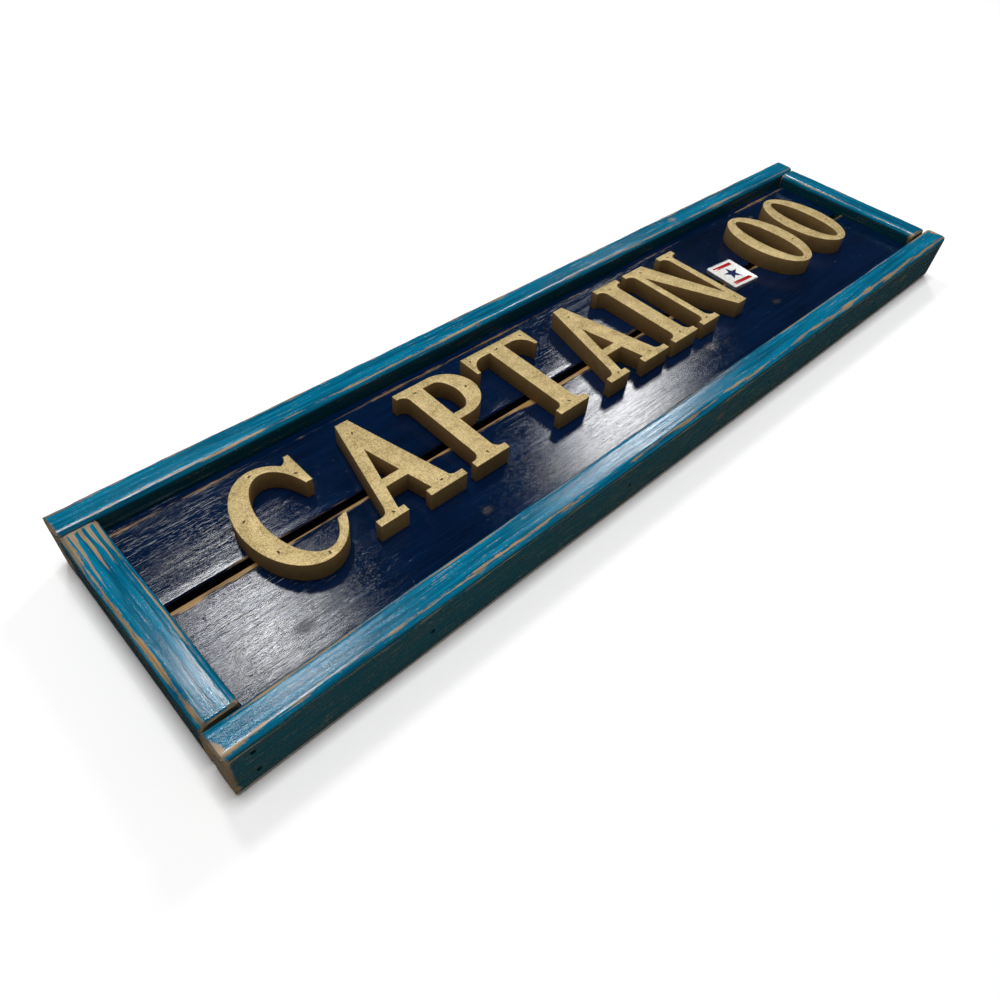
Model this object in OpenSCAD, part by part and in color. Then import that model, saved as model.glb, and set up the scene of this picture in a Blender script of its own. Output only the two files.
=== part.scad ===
// Framed wooden name sign: a butt-jointed box frame of four boards, two recessed planks on three back
// cleats, seven raised serif letters, two raised figures and a small badge, all nailed from real brads.
// It lies on its back: +X runs along the word, +Y is up the letters, +Z is out of the front, and the
// origin is the centre of the back. Millimetres.

/* [Frame] */
// Thickness of the two long rails, seen from the front
rail_t = 17.5; // [12:0.5:30]
// Depth of the long rails, front to back
rail_d = 38; // [30:1:60]
// Width of the two short stiles, seen from the front
stile_w = 20; // [12:0.5:30]
// How far the front of a stile lies below the front of a rail
stile_drop = 0.8; // [0:0.1:3]
// Gap between a stile's upper end and the top rail
stile_gap_top = 0.4; // [0.1:0.1:2]
// Gap between a stile's lower end and the bottom rail
stile_gap_bottom = 1.6; // [0.1:0.1:3]
// Radius of the eased long edges of rails and stiles
edge_r = 3; // [1:0.5:5]

/* [Planks] */
// Width of the upper plank
upper_plank_w = 62; // [45:0.1:100]
// Width of the lower plank
lower_plank_w = 68.8; // [45:0.1:100]
// Open gap between the two planks
plank_gap = 4.6; // [1:0.1:8]
// Thickness of both planks
plank_t = 19; // [14:0.5:24]
// Radius of the eased plank edges
plank_edge_r = 1.5; // [0.5:0.1:3]
// Fitting gap between the planks and the frame
plank_fit = 0.3; // [0.1:0.1:1]

/* [Cleats] */
// Width of the three back cleats
cleat_w = 38; // [20:1:50]
// Thickness of the back cleats
cleat_t = 6.3; // [3:0.1:9]
// How far the cleats lie inside the back of the frame
cleat_inset = 1.4; // [0:0.1:6]
// Gap between the cleats and the frame
cleat_fit = 2; // [0.5:0.5:10]

/* [Letters] */
// Height of the capital letters and figures
letter_h = 76.2; // [55:0.1:95]
// Thickness of the board that the letters are cut from
letter_t = 12.7; // [6:0.1:20]
// Width of a thick stroke
stem_w = 12.6; // [9:0.1:16]
// Width of a thin stroke
thin_w = 5.8; // [4:0.1:8]
// Height of a serif at its tip
serif_t = 4.6; // [3:0.1:6]
// How far a serif runs out beyond its stroke
serif_out = 6.6; // [4:0.1:9]
// Width of the upright serif at the end of an arm
beak_w = 4.4; // [3:0.1:6]
// Distance of the middle of the letters above the middle of the frame
word_y = 7.4; // [-15:0.1:15]
// Gap between neighbouring letters
letter_gap = 7.4; // [2:0.1:15]
// Clear width between the left stile and the first letter
left_margin = 47; // [15:1:120]
// Clear width between the last figure and the right stile
right_margin = 39; // [15:1:120]

/* [Badge] */
// Width of the badge
badge_w = 28.5; // [18:0.5:40]
// Height of the badge
badge_h = 30.5; // [18:0.5:40]
// Thickness of the badge's metal base
badge_base_t = 1.6; // [0.8:0.1:3]
// Thickness of the badge's enamel face
badge_face_t = 1.4; // [0.8:0.1:3]
// Radius of the badge's corners
badge_r = 1.5; // [0.5:0.1:4]
// Tilt of the badge, anticlockwise
badge_tilt = -5; // [-15:1:15]
// Clear width on each side of the badge
badge_gap = 14.5; // [6:0.5:40]
// Length of the pin soldered behind the badge, which stands in the gap between the planks
badge_pin_l = 8; // [4:1:14]
// Diameter of the badge's pin
badge_pin_d = 1.2; // [0.8:0.1:2]

/* [Nails] */
// Width of a brad's shank
brad_w = 1.2; // [0.8:0.1:1.6]
// Thickness of a brad and of its head
brad_t = 1; // [0.6:0.1:1.4]
// Width of a brad's head
brad_head_w = 2; // [1.8:0.1:3]
// Length of a letter brad
letter_brad_l = 25; // [16:1:30]
// How far short of the cleats' backs the cleat brads stop
cleat_brad_stop = 2.5; // [1:0.5:5]
// Distance of the cleat brads from the long edges of the planks
cleat_brad_edge = 14; // [8:1:20]
// How deep a brad's head is sunk
brad_sink = 0.8; // [0.2:0.1:2]
// Width of a finish nail's shank
nail_w = 1.6; // [1.2:0.1:2.4]
// Thickness of a finish nail and of its head
nail_t = 1.4; // [1:0.1:2]
// Width of a finish nail's head
nail_head_w = 2.8; // [2.5:0.1:4]
// Length of the nails that hold the frame's corners
corner_nail_l = 50; // [35:1:65]
// Distance of the corner nails from the ends of the rails
corner_nail_end = 13; // [8:0.5:15]
// Distance of the corner nails from the front and the back of the rails
corner_nail_side = 10.4; // [6:0.1:13]
// Length of the nails through the rails into the planks
plank_nail_l = 38; // [25:1:50]
// How deep a finish nail's head is sunk
nail_sink = 1.4; // [0.4:0.1:3]
// Number of nails through each rail into its plank
plank_nails_per_rail = 4; // [2:1:8]

/* [Hangers] */
// Length of a sawtooth hanger
hanger_l = 45; // [35:1:60]
// Height of a sawtooth hanger
hanger_h = 9; // [7:0.5:14]
// Thickness of the hanger's steel strip
hanger_t = 0.8; // [0.5:0.1:1.2]
// How far the toothed middle stands away from the plank
hanger_lift = 2; // [1:0.1:3]
// Length of each flat end of a hanger
hanger_foot_l = 8; // [7:0.5:10]
// Width of one tooth
tooth_w = 2.4; // [1.5:0.1:4]
// Depth of one tooth
tooth_h = 1.4; // [0.8:0.1:2.5]
// Distance of each hanger from the middle of the frame
hanger_x = 172; // [60:1:250]
// Distance of the hangers below the upper edge of the upper plank
hanger_drop = 23.5; // [12:0.5:35]
// Diameter of a hanger nail's shank
hanger_nail_d = 1.4; // [1:0.1:2]
// Length of a hanger nail's shank
hanger_nail_l = 12; // [8:1:14]
// Diameter of a hanger nail's head
hanger_head_d = 3.6; // [3:0.1:5]
// Thickness of a hanger nail's head
hanger_head_t = 0.8; // [0.5:0.1:1.5]
// Clearance between a hanger nail and its hole in the strip
hanger_hole_fit = 0.1; // [0.05:0.05:0.3]

/* [Hidden] */

// Finishes
teal = "#0a7394";
navy = "#0c1a36";
gold = "#c8ad66";
bare_wood = "#b58b53";
steel = "#8c8f93";
brass = "#b3924a";
enamel_white = "#f2f2ee";

arc_steps = 6;          // facets in a quarter of an eased edge
curve_fn = 48;          // fragments of the small serif curves
oval_fn = 72;           // points round an oval stroke
cut = 1;                // how far a cutting shape runs past a face

// Widths of the letters at the height they are drawn for, which all grow with letter_h
drawn_h = 76.2;
grow = letter_h / drawn_h;
c_w = 50 * grow;
a_w = 60 * grow;
p_w = 48 * grow;
t_w = 54 * grow;
i_w = stem_w + 2 * serif_out;
n_w = 60 * grow;
zero_w = 47 * grow;
arm_serif_h = 17 * grow;      // length of the upright serifs on the arms of the T
bracket_r = 5 * grow;         // radius of the hollow between a serif and its stroke

// Where everything stands along the sign
word_widths = [c_w, a_w, p_w, t_w, a_w, i_w, n_w];
function sum_to(list, n) = n <= 0 ? 0 : list[n - 1] + sum_to(list, n - 1);
word_l = sum_to(word_widths, len(word_widths)) + letter_gap * (len(word_widths) - 1);
figures_l = 2 * zero_w + letter_gap;
badge_span = badge_w * cos(badge_tilt) + badge_h * abs(sin(badge_tilt));
inner_l = left_margin + word_l + badge_gap + badge_span + badge_gap + figures_l + right_margin;
inner_h = upper_plank_w + plank_gap + lower_plank_w + 2 * plank_fit;
frame_l = inner_l + 2 * stile_w;
frame_h = inner_h + 2 * rail_t;

word_x = -inner_l / 2 + left_margin;
badge_x = word_x + word_l + badge_gap + badge_span / 2;
figures_x = badge_x + badge_span / 2 + badge_gap;
baseline_y = word_y - letter_h / 2;
letter_x = concat([for (i = [0:len(word_widths) - 1]) word_x + sum_to(word_widths, i) + i * letter_gap],
                  [figures_x, figures_x + zero_w + letter_gap]);

plank_back = cleat_inset + cleat_t;
plank_top = plank_back + plank_t;
plank_l = inner_l - 2 * plank_fit;
lower_plank_y = -inner_h / 2 + plank_fit;
gap_y = lower_plank_y + lower_plank_w + plank_gap / 2;
upper_plank_y = gap_y + plank_gap / 2;
cleat_x = inner_l / 2 - cleat_fit - cleat_w / 2;
hanger_y = upper_plank_y + upper_plank_w - hanger_drop;
cleat_brad_l = plank_t - brad_sink + cleat_t - cleat_brad_stop;

// ---- small shapes ----

// Points of a rectangle with rounded corners, its lower left corner at the origin
function round_rect(w, h, r) =
    [for (c = [[w - r, h - r, 0], [r, h - r, 90], [r, r, 180], [w - r, r, 270]])
        for (a = [0:arc_steps])
            [c[0] + r * cos(c[2] + a * 90 / arc_steps), c[1] + r * sin(c[2] + a * 90 / arc_steps)]];

// Points of an oval about a centre
function oval(centre, rx, ry) =
    [for (i = [0:oval_fn - 1]) [centre[0] + rx * cos(360 * i / oval_fn),
                                centre[1] + ry * sin(360 * i / oval_fn)]];

// A board along X with eased long edges: its section runs w in Y and h in Z from the origin
module board_x(l, w, h, r) {
    rotate([90, 0, 90]) linear_extrude(height = l, center = true) polygon(round_rect(w, h, r));
}

// A T-headed wire nail pointing down -Z, the top of its head at the origin
module wire_nail(l, w, t, head_w) {
    head_h = w / 2;
    point_h = w;
    translate([0, t / 2, 0]) rotate([90, 0, 0]) linear_extrude(height = t)
        polygon([[-head_w / 2, 0], [-head_w / 2, -head_h], [-w / 2, -head_h], [-w / 2, point_h - l],
                 [0, -l], [w / 2, point_h - l], [w / 2, -head_h], [head_w / 2, -head_h], [head_w / 2, 0]]);
}

// The hole that the same nail leaves, open up to the surface above its sunk head
module nail_hole(l, w, t, head_w, sink) {
    wire_nail(l, w, t, head_w);
    translate([-head_w / 2, -t / 2, -w / 2]) cube([head_w, t, w / 2 + sink + cut]);
}

// ---- strokes of the letters, in the plane, baseline at y = 0 ----

// The hollow fillet that fills a corner towards +X and +Y
module bracket(r) {
    difference() {
        square(r);
        translate([r, r]) circle(r, $fn = curve_fn);
    }
}

// A foot serif under a stroke that stands from x0 to x1
module foot(x0, x1, out_left = serif_out, out_right = serif_out) {
    translate([x0 - out_left, 0]) square([x1 - x0 + out_left + out_right, serif_t]);
    r = min(bracket_r, serif_out);
    if (out_left > 0) translate([x0, serif_t]) mirror([1, 0]) bracket(r);
    if (out_right > 0) translate([x1, serif_t]) bracket(r);
}

// The same serif at the head of a stroke
module head(x0, x1, out_left = serif_out, out_right = serif_out) {
    translate([0, letter_h]) mirror([0, 1]) foot(x0, x1, out_left, out_right);
}

// An upright stroke from the baseline to the cap line
module stem(x0, w) {
    translate([x0, 0]) square([w, letter_h]);
}

// Half the height of an oval at distance dx from its middle
function oval_y(rx, ry, dx) = ry * sqrt(max(0, 1 - pow(dx / rx, 2)));

module glyph_c() {
    middle = letter_h / 2;
    rx = c_w * 0.53;
    inner_right = c_w - thin_w * 0.5;
    inner_x = (inner_right + stem_w) / 2;
    inner_rx = (inner_right - stem_w) / 2;
    gap_low = letter_h * 0.25;
    gap_high = letter_h * 0.66;
    bar = beak_w * 0.75;
    beak_l = beak_w * 2.8;
    beak_x = c_w - beak_l;
    beak_top = letter_h * 0.97;
    under_h = middle + oval_y(inner_rx, middle - thin_w, beak_x - inner_x) - gap_high;
    difference() {
        polygon(oval([rx, middle], rx, middle));
        polygon(oval([inner_x, middle], inner_rx, middle - thin_w));
        polygon([[inner_x, gap_low - thin_w * 0.5], [c_w + cut, gap_low + thin_w * 0.3],
                 [c_w + cut, gap_high], [inner_x, gap_high]]);
        translate([c_w, -cut]) square([c_w, letter_h + 2 * cut]);
    }
    // the beak that hangs from the upper arm, hollowed above and below
    difference() {
        translate([beak_x, gap_high]) square([beak_l, beak_top - gap_high]);
        polygon(oval([beak_x, gap_high], beak_l - bar, under_h));
        polygon(oval([beak_x, beak_top], beak_l - bar, letter_h * 0.08));
    }
}

module glyph_a() {
    left_x = serif_out;
    right_x = a_w - serif_out;
    apex_x = (left_x + right_x) / 2;
    apex_w = thin_w;
    thin_run = thin_w * 1.15;     // a sloping stroke is wider along the baseline than across
    thick_run = stem_w * 1.12;
    bar_y = letter_h * 0.27;
    counter_top = letter_h - stem_w * 2;
    inner_serif = serif_out * 0.8;
    outline = [[left_x, 0], [right_x, 0], [apex_x + apex_w * 0.75, letter_h], [apex_x - apex_w * 0.75, letter_h]];
    difference() {
        polygon(outline);
        polygon([[left_x + thin_run, -cut], [right_x - thick_run, -cut],
                 [apex_x - apex_w * 0.45, counter_top]]);
    }
    intersection() {
        translate([0, bar_y]) square([a_w, thin_w]);
        polygon(outline);
    }
    foot(left_x + thin_run * 0.3, left_x + thin_run, left_x + thin_run * 0.3, 0);
    foot(right_x - thick_run, right_x - thick_run * 0.2, 0, serif_out + thick_run * 0.2);
    translate([left_x + thin_run * 0.5, 0]) square([inner_serif + thin_run * 0.5, serif_t]);
    translate([right_x - thick_run - inner_serif, 0]) square([inner_serif + thick_run * 0.5, serif_t]);
}

module glyph_p() {
    bowl_h = letter_h * 0.53;
    bowl_ry = bowl_h / 2;
    bowl_rx = p_w * 0.44;
    bowl_x = p_w - bowl_rx;
    bowl_y = letter_h - bowl_ry;
    stem(serif_out, stem_w);
    foot(serif_out, serif_out + stem_w);
    head(serif_out, serif_out + stem_w, serif_out, 0);
    difference() {
        union() {
            intersection() {
                polygon(oval([bowl_x, bowl_y], bowl_rx, bowl_ry));
                translate([serif_out, 0]) square([p_w, letter_h]);
            }
            translate([serif_out, letter_h - bowl_h]) square([bowl_x - serif_out, bowl_h]);
        }
        intersection() {
            union() {
                polygon(oval([bowl_x, bowl_y], bowl_rx - stem_w, bowl_ry - thin_w));
                translate([serif_out, bowl_y - bowl_ry + thin_w])
                    square([bowl_x - serif_out, bowl_h - 2 * thin_w]);
            }
            translate([serif_out + stem_w, 0]) square([p_w, letter_h]);
        }
    }
}

module glyph_t() {
    stem_x = (t_w - stem_w) / 2;
    arm_r = arm_serif_h - thin_w;
    tip_w = beak_w * 0.6;
    stem(stem_x, stem_w);
    foot(stem_x, stem_x + stem_w);
    translate([0, letter_h - thin_w]) square([t_w, thin_w]);
    for (side = [0, 1])
        translate([side * t_w, 0]) mirror([side, 0]) {
            translate([0, letter_h - arm_serif_h]) square([tip_w, arm_serif_h]);
            translate([tip_w, letter_h - thin_w]) mirror([0, 1]) bracket(arm_r);
        }
}

module glyph_i() {
    stem(serif_out, stem_w);
    foot(serif_out, serif_out + stem_w);
    head(serif_out, serif_out + stem_w);
}

module glyph_n() {
    left_x = serif_out;
    right_x = n_w - serif_out - thin_w;
    right_end = right_x + thin_w;
    top_run = stem_w * 1.3;       // width of the diagonal along the cap line
    toe_x = right_end - thin_w * 1.7;
    left_join = letter_h * (toe_x - left_x - thin_w) / (toe_x - left_x);
    right_join = letter_h * thin_w / (right_end - left_x - top_run);
    polygon([[left_x, 0], [left_x + thin_w, 0], [left_x + thin_w, left_join], [toe_x, 0], [right_end, 0],
             [right_end, letter_h], [right_x, letter_h], [right_x, right_join],
             [left_x + top_run, letter_h], [left_x, letter_h]]);
    foot(left_x, left_x + thin_w);
    head(left_x, left_x + thin_w, serif_out, 0);
    head(right_x, right_end);
}

module glyph_zero() {
    middle = [zero_w / 2, letter_h / 2];
    difference() {
        polygon(oval(middle, zero_w / 2, letter_h / 2));
        polygon(oval(middle, zero_w / 2 - stem_w, letter_h / 2 - thin_w));
    }
}

// Places of the brads in each glyph, on the middle of a stroke
c_brads = [[stem_w * 0.5, letter_h * 0.62], [c_w * 0.56, thin_w * 0.6], [c_w - beak_w, letter_h * 0.78],
           [c_w * 0.5, letter_h - thin_w * 0.6], [stem_w * 0.7, letter_h * 0.26]];
a_brads = [[a_w * 0.5, letter_h * 0.86], [serif_out + thin_w * 0.8, serif_t * 0.9],
           [a_w - serif_out - stem_w * 0.6, serif_t * 1.2]];
p_brads = [[serif_out + stem_w / 2, serif_t * 1.2], [serif_out + stem_w / 2, letter_h - serif_t * 1.3],
           [p_w - stem_w / 2, letter_h * 0.73]];
t_brads = [[t_w / 2, serif_t * 1.2], [t_w / 2, letter_h - serif_t * 1.2], [beak_w, letter_h - serif_t],
           [t_w - beak_w, letter_h - serif_t]];
i_brads = [[i_w / 2, serif_t * 1.3], [i_w / 2, letter_h - serif_t * 1.3]];
n_brads = [[serif_out + thin_w / 2, serif_t], [serif_out + stem_w * 0.7, letter_h - serif_t * 1.2],
           [n_w - serif_out - thin_w / 2, letter_h - serif_t], [n_w - serif_out - thin_w * 0.8, serif_t * 1.6]];
zero_brads = [[stem_w / 2, letter_h * 0.66], [zero_w - stem_w / 2, letter_h * 0.34],
              [zero_w / 2, thin_w * 0.52], [zero_w / 2, letter_h - thin_w * 0.52]];
brad_points = [c_brads, a_brads, p_brads, t_brads, a_brads, i_brads, n_brads, zero_brads, zero_brads];

// The brads of letter number i, where they stand in the sign; each is turned a little differently
module brads_of(i, hole = false) {
    for (k = [0:len(brad_points[i]) - 1])
        translate([letter_x[i] + brad_points[i][k][0], baseline_y + brad_points[i][k][1],
                   plank_top + letter_t - brad_sink])
            rotate([0, 0, 25 + 37 * i + 61 * k])
                if (hole) nail_hole(letter_brad_l, brad_w, brad_t, brad_head_w, brad_sink);
                else wire_nail(letter_brad_l, brad_w, brad_t, brad_head_w);
}

// Letter number i, cut from flat board and standing on the planks
module raised(i) {
    color(gold) difference() {
        translate([letter_x[i], baseline_y, plank_top]) linear_extrude(height = letter_t) children();
        brads_of(i, hole = true);
    }
}

module letter_c() { raised(0) glyph_c(); }
module letter_a_first() { raised(1) glyph_a(); }
module letter_p() { raised(2) glyph_p(); }
module letter_t_cap() { raised(3) glyph_t(); }
module letter_a_second() { raised(4) glyph_a(); }
module letter_i() { raised(5) glyph_i(); }
module letter_n() { raised(6) glyph_n(); }
module figure_zero_first() { raised(7) glyph_zero(); }
module figure_zero_second() { raised(8) glyph_zero(); }

module letter_brads() {
    color(steel) for (i = [0:len(letter_x) - 1]) brads_of(i);
}

// ---- nails of the frame ----

// Two nails through each rail end into each stile end; side 1 is the top rail, -1 the bottom rail
module corner_nails_at(side, hole = false) {
    for (end = [-1, 1], z = [corner_nail_side, rail_d - corner_nail_side])
        translate([end * (frame_l / 2 - corner_nail_end), side * (frame_h / 2 - nail_sink), z])
            rotate([-side * 90, 0, 0]) rotate([0, 0, 90])
                if (hole) nail_hole(corner_nail_l, nail_w, nail_t, nail_head_w, nail_sink);
                else wire_nail(corner_nail_l, nail_w, nail_t, nail_head_w);
}

// Nails through a rail into the edge of its plank, spread evenly
module plank_nails_at(side, hole = false) {
    pitch = inner_l / (plank_nails_per_rail + 0.2);
    for (k = [0:plank_nails_per_rail - 1])
        translate([(k - (plank_nails_per_rail - 1) / 2) * pitch, side * (frame_h / 2 - nail_sink),
                   (plank_top + plank_back) / 2])
            rotate([-side * 90, 0, 0]) rotate([0, 0, 90])
                if (hole) nail_hole(plank_nail_l, nail_w, nail_t, nail_head_w, nail_sink);
                else wire_nail(plank_nail_l, nail_w, nail_t, nail_head_w);
}

module corner_nails() {
    color(steel) for (side = [-1, 1]) corner_nails_at(side);
}

module plank_nails() {
    color(steel) for (side = [-1, 1]) plank_nails_at(side);
}

// Brads from the front of the planks into the cleats, two in each plank at each cleat
module cleat_brads_in(hole = false) {
    rows = [lower_plank_y + cleat_brad_edge, lower_plank_y + lower_plank_w - cleat_brad_edge,
            upper_plank_y + cleat_brad_edge, upper_plank_y + upper_plank_w - cleat_brad_edge];
    for (x = [-cleat_x - cleat_w / 4, cleat_w / 4, cleat_x + cleat_w / 4], y = rows)
        translate([x, y, plank_top - brad_sink]) rotate([0, 0, 90])
            if (hole) nail_hole(cleat_brad_l, brad_w, brad_t, brad_head_w, brad_sink);
            else wire_nail(cleat_brad_l, brad_w, brad_t, brad_head_w);
}

module cleat_brads() {
    color(steel) cleat_brads_in();
}

// ---- frame ----

module rail(side) {
    color(teal) difference() {
        translate([0, side * (frame_h - rail_t) / 2 - rail_t / 2, 0]) board_x(frame_l, rail_t, rail_d, edge_r);
        corner_nails_at(side, hole = true);
        plank_nails_at(side, hole = true);
    }
}

module top_rail() { rail(1); }
module bottom_rail() { rail(-1); }

module stile(end) {
    stile_l = inner_h - stile_gap_top - stile_gap_bottom;
    color(teal) difference() {
        translate([end * (frame_l - stile_w) / 2, -inner_h / 2 + stile_gap_bottom + stile_l / 2, 0])
            rotate([0, 0, 90]) translate([0, -stile_w / 2, 0])
                board_x(stile_l, stile_w, rail_d - stile_drop, edge_r);
        for (side = [-1, 1]) corner_nails_at(side, hole = true);
    }
}

module left_stile() { stile(-1); }
module right_stile() { stile(1); }

// ---- planks and cleats ----

module plank(y, w, side) {
    color(navy) difference() {
        translate([0, y, plank_back]) board_x(plank_l, w, plank_t, plank_edge_r);
        plank_nails_at(side, hole = true);
        cleat_brads_in(hole = true);
        for (i = [0:len(letter_x) - 1]) brads_of(i, hole = true);
        hanger_nail_places() hanger_nail();
    }
}

module upper_plank() { plank(upper_plank_y, upper_plank_w, 1); }
module lower_plank() { plank(lower_plank_y, lower_plank_w, -1); }

module cleat(x) {
    cleat_l = inner_h - 2 * cleat_fit;
    color(bare_wood) difference() {
        translate([x - cleat_w / 2, -cleat_l / 2, plank_back - cleat_t]) cube([cleat_w, cleat_l, cleat_t]);
        cleat_brads_in(hole = true);
    }
}

module left_cleat() { cleat(-cleat_x); }
module middle_cleat() { cleat(0); }
module right_cleat() { cleat(cleat_x); }

// ---- badge ----

module badge_place() {
    translate([badge_x, gap_y, plank_top]) rotate([0, 0, badge_tilt]) children();
}

module badge_plate(t) {
    linear_extrude(height = t) translate([-badge_w / 2, -badge_h / 2]) polygon(round_rect(badge_w, badge_h, badge_r));
}

module badge_base() {
    color(steel) badge_place() {
        badge_plate(badge_base_t);
        translate([0, 0, -badge_pin_l]) cylinder(h = badge_pin_l + badge_base_t / 2, d = badge_pin_d, $fn = curve_fn);
    }
}

module badge_face() {
    color(enamel_white) badge_place() translate([0, 0, badge_base_t]) badge_plate(badge_face_t);
}

// ---- hangers ----

// A toothed strip with two flat feet on the plank and a raised middle, its back on z = 0
module sawtooth_hanger() {
    half = hanger_l / 2;
    middle = half - hanger_foot_l;
    ramp = hanger_lift;
    n_teeth = floor((2 * (middle - ramp) - tooth_w) / tooth_w);
    difference() {
        translate([0, hanger_h / 2, 0]) rotate([90, 0, 0]) linear_extrude(height = hanger_h)
            polygon([[-half, 0], [-middle, 0], [-middle + ramp, -hanger_lift], [middle - ramp, -hanger_lift],
                     [middle, 0], [half, 0], [half, -hanger_t], [middle + hanger_t * 0.4, -hanger_t],
                     [middle - ramp + hanger_t * 0.4, -hanger_lift - hanger_t],
                     [-middle + ramp - hanger_t * 0.4, -hanger_lift - hanger_t],
                     [-middle - hanger_t * 0.4, -hanger_t], [-half, -hanger_t]]);
        for (k = [0:n_teeth - 1])
            translate([(k - n_teeth / 2) * tooth_w, -hanger_h / 2 - cut, -hanger_lift - hanger_t - cut])
                linear_extrude(height = hanger_lift + hanger_t + 2 * cut)
                    polygon([[0, 0], [tooth_w, 0], [tooth_w, cut], [tooth_w / 2, cut + tooth_h], [0, cut]]);
        for (end = [-1, 1])
            translate([end * (half - hanger_foot_l / 2), 0, -hanger_t - cut])
                cylinder(h = hanger_t + 2 * cut, d = hanger_nail_d + 2 * hanger_hole_fit, $fn = curve_fn);
    }
}

module hanger(side) {
    color(brass) translate([side * hanger_x, hanger_y, plank_back]) sawtooth_hanger();
}

module left_hanger() { hanger(-1); }
module right_hanger() { hanger(1); }

// A round-headed nail pointing up +Z, the underside of its head at the origin
module hanger_nail() {
    translate([0, 0, -hanger_head_t]) cylinder(h = hanger_head_t, d = hanger_head_d, $fn = curve_fn);
    translate([0, 0, -hanger_head_t / 2])
        cylinder(h = hanger_nail_l + hanger_head_t / 2, d = hanger_nail_d, $fn = curve_fn);
}

module hanger_nail_places() {
    for (side = [-1, 1], end = [-1, 1])
        translate([side * hanger_x + end * (hanger_l - hanger_foot_l) / 2, hanger_y, plank_back - hanger_t])
            children();
}

module hanger_nails() {
    color(steel) hanger_nail_places() hanger_nail();
}

top_rail();
bottom_rail();
left_stile();
right_stile();
upper_plank();
lower_plank();
left_cleat();
middle_cleat();
right_cleat();
letter_c();
letter_a_first();
letter_p();
letter_t_cap();  // letter_t
letter_a_second();
letter_i();
letter_n();
figure_zero_first();
figure_zero_second();
badge_base();
badge_face();
corner_nails();
plank_nails();
cleat_brads();
letter_brads();
left_hanger();
right_hanger();
hanger_nails();
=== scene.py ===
import math

import bmesh
import bpy
from mathutils import Euler, Matrix, Vector


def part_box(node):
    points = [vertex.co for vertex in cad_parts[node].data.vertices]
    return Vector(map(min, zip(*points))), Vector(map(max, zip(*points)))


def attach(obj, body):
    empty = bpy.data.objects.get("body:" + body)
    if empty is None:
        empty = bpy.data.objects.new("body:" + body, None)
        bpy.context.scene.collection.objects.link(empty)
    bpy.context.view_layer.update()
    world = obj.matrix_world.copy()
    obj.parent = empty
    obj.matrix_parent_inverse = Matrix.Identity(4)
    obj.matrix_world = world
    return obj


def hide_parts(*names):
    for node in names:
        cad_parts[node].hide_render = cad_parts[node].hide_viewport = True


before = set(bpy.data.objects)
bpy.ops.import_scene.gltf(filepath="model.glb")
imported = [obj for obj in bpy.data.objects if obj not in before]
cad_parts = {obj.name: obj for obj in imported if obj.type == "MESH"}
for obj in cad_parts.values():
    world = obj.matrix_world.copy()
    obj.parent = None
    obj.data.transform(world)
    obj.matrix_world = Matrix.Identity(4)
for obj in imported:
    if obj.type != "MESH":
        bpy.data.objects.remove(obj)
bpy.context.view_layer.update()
MM = 0.001

# ---------------------------------------------------------------------------------------------
# The camera: it looks down on the sign, which lies on its back, from beyond its lower left corner.
# It is a wide lens held close, and slightly turned in the hand.
# ---------------------------------------------------------------------------------------------
CAMERA_AT = (-0.3673, -0.2373, 0.3471)
CAMERA_TILT = math.radians(41.74)       # away from straight down
CAMERA_TURN = math.radians(-48.9)       # about the vertical
CAMERA_ROLL = math.radians(6.75)        # about its own axis
CAMERA_LENS = 27.47                     # in millimetres, on a full frame
SENSOR_W = 36
camera = bpy.data.objects.new("camera", bpy.data.cameras.new("camera"))
camera.data.lens = CAMERA_LENS
camera.data.sensor_width = SENSOR_W
camera.data.clip_start = 0.01
aim = Euler((CAMERA_TILT, 0, CAMERA_TURN)).to_matrix() @ Matrix.Rotation(CAMERA_ROLL, 3, "Z")
camera.matrix_world = Matrix.Translation(CAMERA_AT) @ aim.to_4x4()
bpy.context.scene.collection.objects.link(camera)
bpy.context.scene.camera = camera
bpy.context.scene.view_settings.view_transform = "Standard"

# ---------------------------------------------------------------------------------------------
# The frame: four pine boards with eased edges, painted teal, rubbed through along the edges and
# varnished. The long rails run the full length, and the stiles are butted between them.
# ---------------------------------------------------------------------------------------------


def pick(kind, test):
    """In edit mode, select only the edges or faces that pass the test."""
    bpy.ops.mesh.select_mode(type="EDGE" if kind == "edges" else "FACE")
    bpy.ops.mesh.select_all(action="DESELECT")
    mesh = bmesh.from_edit_mesh(bpy.context.object.data)
    for item in getattr(mesh, kind):
        if test(item):
            item.select_set(True)
    bmesh.update_edit_mesh(bpy.context.object.data)


def runs_along(axis, longer_than):
    """A test for edges that run along an axis and are longer than a length."""
    def test(edge):
        run = edge.verts[1].co - edge.verts[0].co
        return abs(run[axis]) > longer_than and abs(run[axis]) > 0.99 * run.length
    return test


def start_piece(name):
    """Name the object that was just added, and put its size and place into its mesh."""
    piece = bpy.context.object
    piece.name = name
    piece.data.name = name
    bpy.ops.object.transform_apply(location=True, rotation=True, scale=True)
    return piece


def apply_all(piece):
    """Apply the piece's modifiers in order."""
    bpy.ops.object.select_all(action="DESELECT")
    piece.select_set(True)
    bpy.context.view_layer.objects.active = piece
    for modifier in list(piece.modifiers):
        bpy.ops.object.modifier_apply(modifier=modifier.name)


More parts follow.
